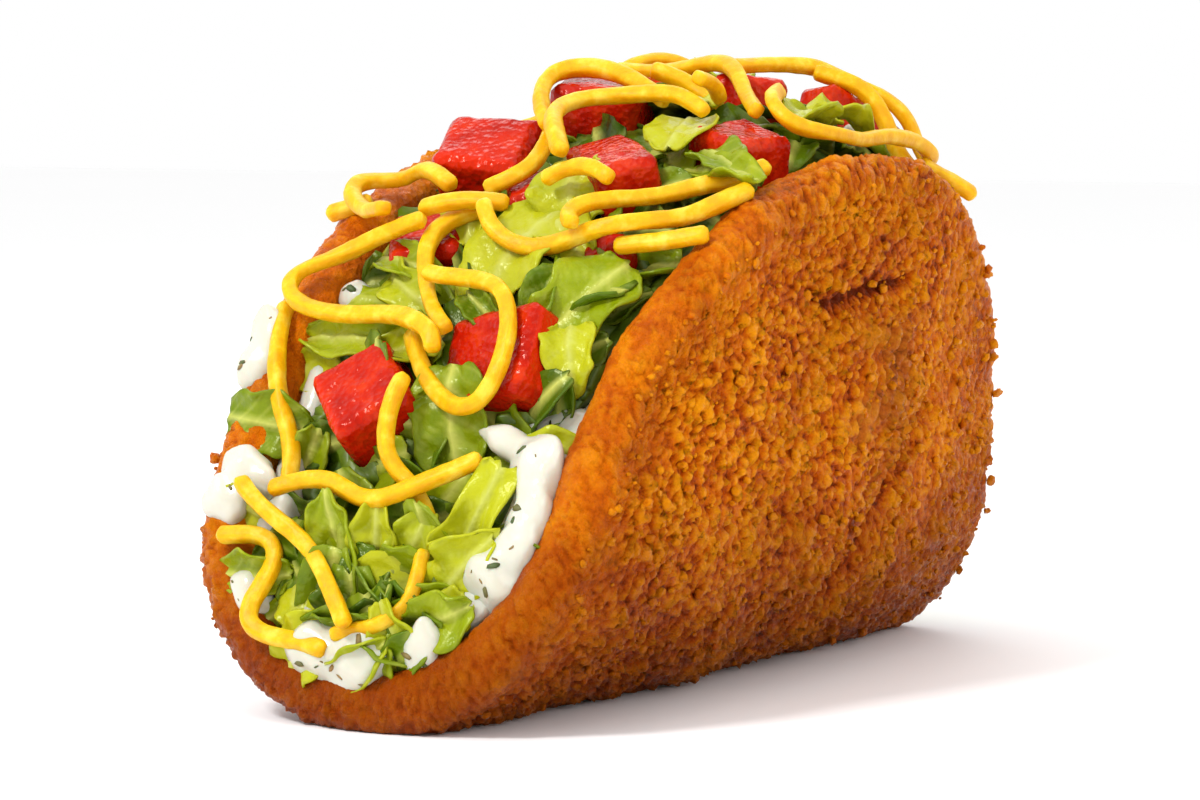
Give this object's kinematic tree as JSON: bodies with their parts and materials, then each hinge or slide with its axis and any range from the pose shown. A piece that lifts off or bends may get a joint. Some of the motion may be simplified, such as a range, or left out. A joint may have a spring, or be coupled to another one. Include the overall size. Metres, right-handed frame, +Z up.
{
  "type": "chalupa",
  "caption": "Folded fried flatbread shell filled with shredded lettuce, diced tomato, shredded cheese and a creamy sauce, resting on its fold.",
  "frame": {"origin": "under the middle of the bounding box, on the flat that the fold rests on", "axes": "+X along the fold, away from the end that shows most of the filling; +Y across, to the left wall seen from that end looking along +X; +Z up"},
  "size_m": [0.157, 0.079, 0.0969],
  "materials": {
    "shell": "crisp fried breading",
    "sauce": "wet and creamy",
    "salad": "moist leaf",
    "tomato": "wet cut flesh",
    "cheese": "satin shreds"
  },
  "bodies": {
    "root": {"shell": "shell", "sauce": "sauce", "salad": "salad", "tomato_01": "tomato", "tomato_02": "tomato", "tomato_03": "tomato", "tomato_04": "tomato", "tomato_05": "tomato", "tomato_06": "tomato", "tomato_07": "tomato", "tomato_08": "tomato", "tomato_09": "tomato", "tomato_10": "tomato", "tomato_11": "tomato", "tomato_12": "tomato", "tomato_13": "tomato", "tomato_14": "tomato", "tomato_15": "tomato", "cheese_01": "cheese", "cheese_02": "cheese", "cheese_03": "cheese", "cheese_04": "cheese", "cheese_05": "cheese", "cheese_06": "cheese", "cheese_07": "cheese", "cheese_08": "cheese", "cheese_09": "cheese", "cheese_10": "cheese", "cheese_11": "cheese", "cheese_12": "cheese", "cheese_13": "cheese", "cheese_14": "cheese", "cheese_15": "cheese", "cheese_16": "cheese", "cheese_17": "cheese", "cheese_18": "cheese", "cheese_19": "cheese", "cheese_20": "cheese", "cheese_21": "cheese", "cheese_22": "cheese", "cheese_23": "cheese", "cheese_24": "cheese", "cheese_25": "cheese", "cheese_26": "cheese", "cheese_27": "cheese", "cheese_28": "cheese", "cheese_29": "cheese", "cheese_30": "cheese"}
  },
  "joints": []
}
